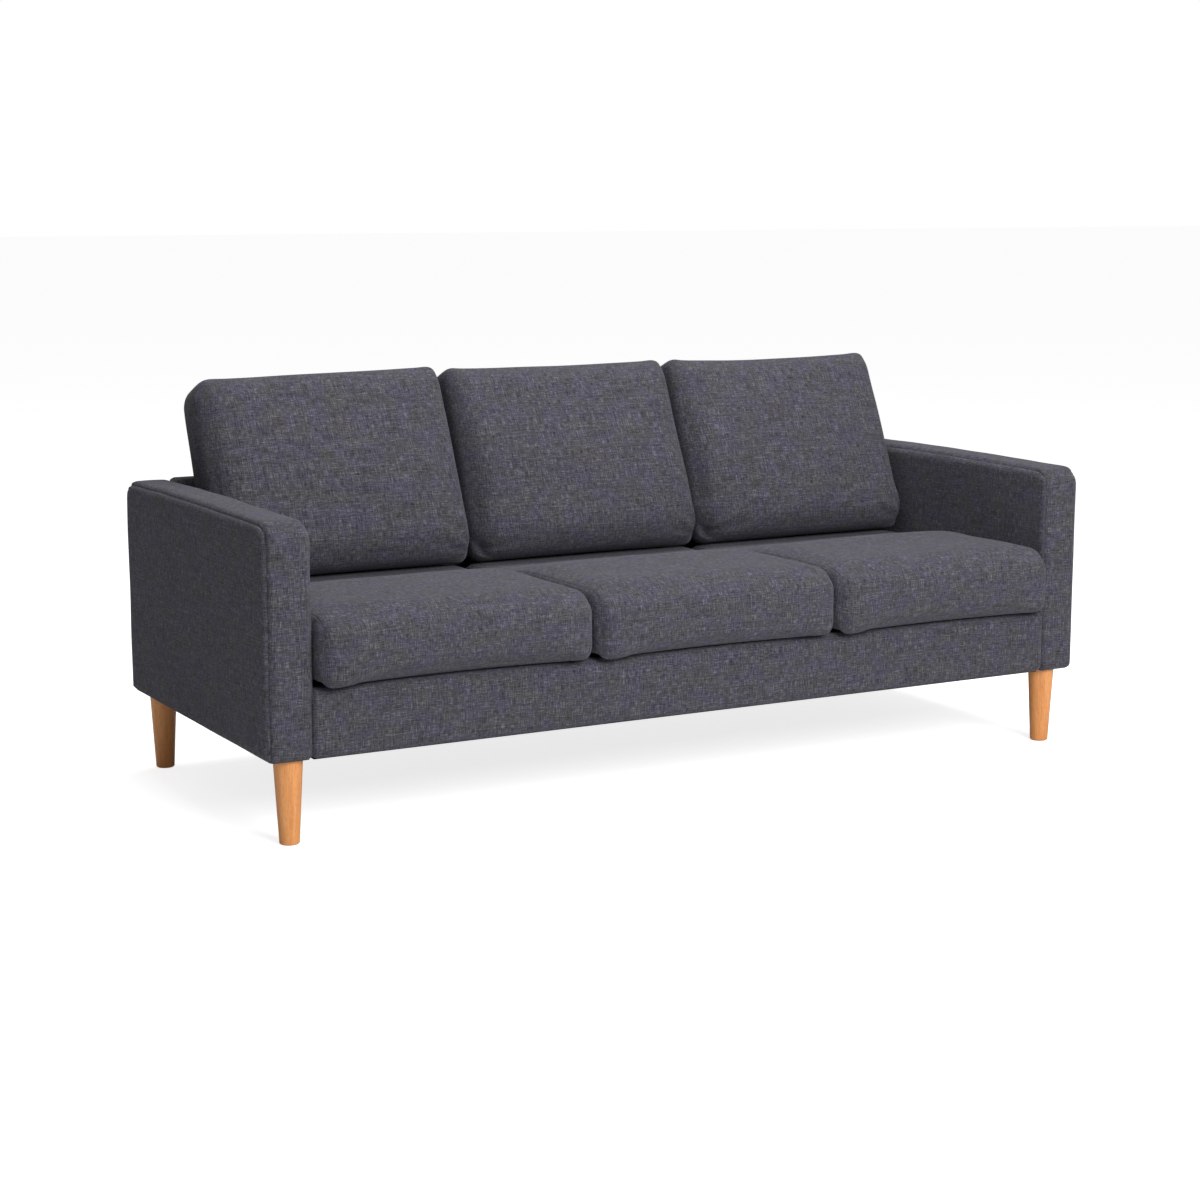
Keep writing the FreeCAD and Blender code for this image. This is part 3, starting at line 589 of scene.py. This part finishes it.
def make_seat_cushion(word, side):
    room_low, room_high = (Vector(corner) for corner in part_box(f"{word}_seat_cushion_cover"))
    room_low.x += SEAT_SHIFT * (side > -1)
    room_high.x += SEAT_SHIFT * (side < 1)
    low = room_low + Vector((1.5, 0, 3)) * MM
    high = room_high - Vector((1.5, 1, 3)) * MM
    bm = even_block(low, high, CLOTH_STEP)
    lay_out_cloth(bm, low, high, 3.1 + side * 0.93)
    is_panel_seam = between_panels(low, high)
    fold_z = min((vert.co.z for vert in bm.verts), key=lambda z: abs(z - (high.z - 22 * MM)))

    def is_seam(first, second):
        in_fold = all(abs(end.z - fold_z) < MM and abs(end.y - low.y) < MM and end.x < low.x + 95 * MM
                      for end in (first, second))
        at_front = first.y < low.y + MM and second.y < low.y + MM
        return (is_panel_seam(first, second) and not at_front) or (side < 0 and in_fold)

    mark_seams(bm, is_seam)
    for vert in bm.verts:
        share = share_of(vert.co, low, high)
        place = rounded(vert.co, low, high, 8 * MM)
        place = turned_corners(place, low, high, (24 * MM, 18 * MM, 20 * MM, 18 * MM), axes=(0, 1))
        place = turned_corners(place, low, high, (26 * MM, 24 * MM, 20 * MM, 26 * MM), axes=(0, 2))
        place = turned_corners(place, low, high, (30 * MM, 50 * MM, 20 * MM, 28 * MM))
        front, top, under = max(0.0, -share.y), max(0.0, share.z), max(0.0, -share.z)
        place.y -= front ** 5 * 14 * hump(share.x ** 4) * hump(share.z ** 2) * MM
        place.z += top ** 3 * 5 * hump(share.x) * hump(share.y) * MM
        place.y -= front * under * (1 - hump(share.x)) * 5 * MM
        vert.co = place
    piece = make_object(bm, f"{word}_seat_cushion_filled", CLOTH)
    plump(piece, 4.0, 6 * MM)
    subdivide_once(piece)
    bm = bmesh.new()
    bm.from_mesh(piece.data)
    soften(bm, 3)
    settle_seat(bm, room_low, room_high, side)
    if side < 0:
        crease_corner(bm, room_low, room_high)
    sew_seams(bm, 1.4 * MM, 0.9 * MM)
    bm.to_mesh(piece.data)
    bm.free()
    finish_upholstery(piece, f"{word}_seat_cushion",
                      [f"{word}_seat_cushion_cover", f"{word}_seat_cushion_core"])


def crease_corner(bm, low, high):
    """A short fold along the front top edge, at the end by the arm."""
    for vert in bm.verts:
        along = (vert.co.x - low.x) / (130 * MM)
        off_fold = (vert.co.z - (high.z - 24 * MM)) / (8 * MM)
        if vert.co.y < low.y + 50 * MM and along < 1 and abs(off_fold) < 3:
            vert.co.y += 5 * MM * (1 - along) * math.exp(-off_fold * off_fold)


def settle_seat(bm, low, high, seed):
    """Keeps the filled cover in its own room: on the deck, under the back cushion, by its neighbours.

    Its front edge arches up off the rail in the middle and droops over it near both ends.
    """
    under_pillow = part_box("left_back_cushion_cover")[0].y
    rail_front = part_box("front_rail_cover")[0].y - 3 * MM
    for vert in bm.verts:
        place = vert.co
        across = 2 * (place.x - low.x) / (high.x - low.x) - 1
        over_rail = min(1.0, max(0.0, (rail_front + 36 * MM - place.y) / (48 * MM)))
        clear_of_rail = min(1.0, max(0.0, (rail_front - place.y) / (14 * MM)))
        near_sole = min(1.0, max(0.0, 1 - (place.z - low.z) / (90 * MM)))
        arch = (17 if seed < 0 else 11) * hump(across) * over_rail
        lobes = (14 * swelling(place.x - low.x, 44 * MM, 44 * MM)
                 + 7 * swelling(high.x - place.x, 36 * MM, 36 * MM))
        droop = lobes * clear_of_rail
        place.z += near_sole * (arch - droop) * MM
        swell = softness(place, 11 + seed, 0.11, 2.4 * MM)
        place.z += swell * max(0.0, (place.z - low.z) / (high.z - low.z))
        place.x = min(max(place.x, low.x + 0.3 * MM), high.x - 0.3 * MM)
        place.y = min(place.y, high.y)
        if place.y > low.y + 34 * MM:
            place.z = max(place.z, low.z)
        pressed = min(1.0, max(0.0, (place.y - under_pillow + 0.26) / 0.26))
        pressed = pressed * pressed * (3 - 2 * pressed)
        upper = max(0.0, (place.z - low.z) / (high.z - low.z) - 0.5) * 2
        place.z -= min(1.0, upper) * pressed * (SEAT_SINK + max(0.0, place.z - high.z))


def make_back_cushion(word, side):
    room_low, room_high = (Vector(corner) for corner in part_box(f"{word}_back_cushion_cover"))
    seat_top = room_low.z
    deck_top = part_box("seat_deck_cloth")[1].z
    thick, bevel, length = 168 * MM, 45 * MM, 349 * MM
    heel_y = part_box("back_cover")[0].y + (seat_top - deck_top) * math.tan(BACK_RAKE) - 0.3 * MM
    up = Vector((0, math.sin(BACK_RAKE), math.cos(BACK_RAKE)))
    forward = Vector((0, -math.cos(BACK_RAKE), math.sin(BACK_RAKE)))
    heel = Vector((0, heel_y, seat_top))
    room_low.x, room_high.x = BACK_CUSHION_ENDS[word]
    low = Vector((room_low.x, -thick, 0))
    high = Vector((room_high.x, 0, length + 10 * MM))
    bm = even_block(low, high, CLOTH_STEP)
    lay_out_cloth(bm, low, high, 6.2 + side * 0.83)
    middle_x = (low.x + high.x) / 2
    dip = (3 + 3 * side) * MM
    upper_left = 42 * MM if side < 0 else 20 * MM

    def is_rim(first, second):
        if abs(first.y - low.y) < NEAR and abs(second.y - low.y) < NEAR:
            return abs(first.z - low.z) < NEAR and abs(second.z - low.z) < NEAR
        if abs(first.y - high.y) < NEAR and abs(second.y - high.y) < NEAR:
            return any(abs(first[axis] - edge) < NEAR and abs(second[axis] - edge) < NEAR
                       for axis in (0, 2) for edge in (low[axis], high[axis]))
        return False

    mark_seams(bm, is_rim)
    for vert in bm.verts:
        share = share_of(vert.co, low, high)
        place = turned_corners(vert.co, low, high, (46 * MM, 70 * MM, 28 * MM, 60 * MM), axes=(0, 1))
        place = turned_corners(place, low, high, (26 * MM, upper_left, 24 * MM, 20 * MM), axes=(0, 2))
        place = turned_corners(place, low, high, (80 * MM, 42 * MM, 12 * MM, 62 * MM))
        front, upper, lower = max(0.0, -share.y), max(0.0, share.z), max(0.0, -share.z)
        rear = max(0.0, share.y)
        place.y += front ** 2 * 6 * (1 - hump(share.x ** 2) * hump(share.z)) * MM
        place.y -= front ** 2 * 22 * hump((share.z + 0.5) / 1.2) * hump(share.x ** 3) * MM
        place.x -= (place.x - middle_x) * (0.010 + 0.010 * share.z + 0.06 * rear ** 2)
        if side < 0:
            place.z += upper * share.x * 4 * MM
        place.z -= upper ** 4 * dip * hump(share.x)
        pinch = abs(share.x) ** 10 * lower ** 6 * front
        place.y += pinch * 14 * MM
        place.x -= share.x * pinch * 7 * MM
        ahead = -place.y
        sole = max(-ahead * math.tan(BACK_RAKE) - SEAT_SINK / math.cos(BACK_RAKE), bevel - 1.54 * ahead)
        climb = sole + (place.z - low.z) * (high.z - sole) / (high.z - low.z)
        vert.co = heel + Vector((place.x, 0, 0)) + forward * ahead + up * climb
    piece = make_object(bm, f"{word}_back_cushion_filled", CLOTH)
    plump(piece, 4.0, 3.5 * MM)
    subdivide_once(piece)
    bm = bmesh.new()
    bm.from_mesh(piece.data)
    soften(bm, 14)
    settle_back(bm, room_low, room_high, heel, forward, side)
    sew_seams(bm, 1.2 * MM, 0.6 * MM)
    bm.to_mesh(piece.data)
    bm.free()
    finish_upholstery(piece, f"{word}_back_cushion",
                      [f"{word}_back_cushion_cover", f"{word}_back_cushion_core"])


def puckers(place, low, high):
    """Small folds that run out from the two lower corners."""
    height = 0.0
    for corner_x, way in ((low.x, 1), (high.x, -1)):
        across, above = (place.x - corner_x) * way, place.z - low.z
        reach = math.hypot(across, above) / (75 * MM)
        height += 2.0 * MM * math.cos(11 * math.atan2(above, across)) * reach * math.exp(1 - reach * reach)
    return height


def settle_back(bm, low, high, heel, forward, seed):
    """Keeps the filled cover in its own room: on the seat, against the raked back and off its neighbours."""
    for vert in bm.verts:
        place = vert.co
        behind = (place - heel).dot(forward)
        swell = softness(place, 21 + seed, 0.12, 3.2 * MM) + puckers(place, low, high)
        place += forward * swell * min(1.0, max(0.0, behind) / 0.1)
        place.x = min(max(place.x, low.x - 0.2 * MM), high.x + 0.2 * MM)
        place.z = max(place.z, low.z - SEAT_SINK)
        behind = (place - heel).dot(forward)
        if behind < 0:
            place -= forward * behind


for side_word, side_way in WORDS.items():
    if side_way:
        make_arm(side_word, side_way)
    make_seat_cushion(side_word, side_way)
    make_back_cushion(side_word, side_way)
make_front_rail()
make_back()
make_deck_cloth()
make_dust_cover()


# ---- floor, light and camera

def make_floor():
    """Pale floor. It looks white, and throws back only a little light."""
    bm = bmesh.new()
    bmesh.ops.create_grid(bm, x_segments=1, y_segments=1, size=60)
    finish, shader = new_finish("pale_floor", 0.9, 0.0)
    seen = add(finish, "LightPath").outputs["Is Camera Ray"]
    colour_with(finish, shader, blended(finish, seen, (0.82, 0.82, 0.82, 1), (0.9, 0.9, 0.9, 1)))
    shader.inputs["Emission Color"].default_value = (1, 1, 1, 1)
    glow = sums(finish, "MULTIPLY", seen, 0.78)
    finish.node_tree.links.new(glow, shader.inputs["Emission Strength"])
    bmesh.ops.translate(bm, vec=(0, 0, -0.5 * MM), verts=bm.verts)
    floor = make_object(bm, "floor", finish)


def make_softbox(name, place, target, size, power):
    light = bpy.data.lights.new(name, "AREA")
    light.shape = "RECTANGLE"
    light.size, light.size_y = size
    light.energy = power
    lamp = bpy.data.objects.new(name, light)
    bpy.context.scene.collection.objects.link(lamp)
    lamp.location = place
    lamp.rotation_euler = (Vector(target) - Vector(place)).to_track_quat("-Z", "Y").to_euler()


def make_room_light(strength):
    """Even white fill. The camera sees the background itself as white."""
    world = bpy.data.worlds.new("studio")
    world.use_nodes = True
    nodes, links = world.node_tree.nodes, world.node_tree.links
    background = nodes["Background"]
    background.inputs["Color"].default_value = (1, 1, 1, 1)
    seen = nodes.new("ShaderNodeLightPath").outputs["Is Camera Ray"]
    brighter = nodes.new("ShaderNodeMix")
    brighter.inputs["A"].default_value = strength
    brighter.inputs["B"].default_value = 1.0
    links.new(seen, brighter.inputs["Factor"])
    links.new(brighter.outputs["Result"], background.inputs["Strength"])
    bpy.context.scene.world = world


def make_camera():
    camera = bpy.data.objects.new("camera", bpy.data.cameras.new("camera"))
    looks_down, turned_right = 9.645, 29.134
    camera.data.lens = 72.13
    camera.data.sensor_width = 36
    camera.location = (-2.4854, -4.3894, 1.1925)
    camera.rotation_euler = (math.radians(90 - looks_down), 0, -math.radians(turned_right))
    bpy.context.scene.collection.objects.link(camera)
    bpy.context.scene.camera = camera


make_floor()
make_room_light(0.21)
make_softbox("key_softbox", (0.2, -4.2, 2.6), (0, 0, 0.35), (2.6, 1.8), 152)
make_softbox("top_softbox", (0.3, 0.1, 3.6), (0, 0, 0.4), (3.5, 2.0), 92)
make_camera()
bpy.context.scene.view_settings.view_transform = "Standard"
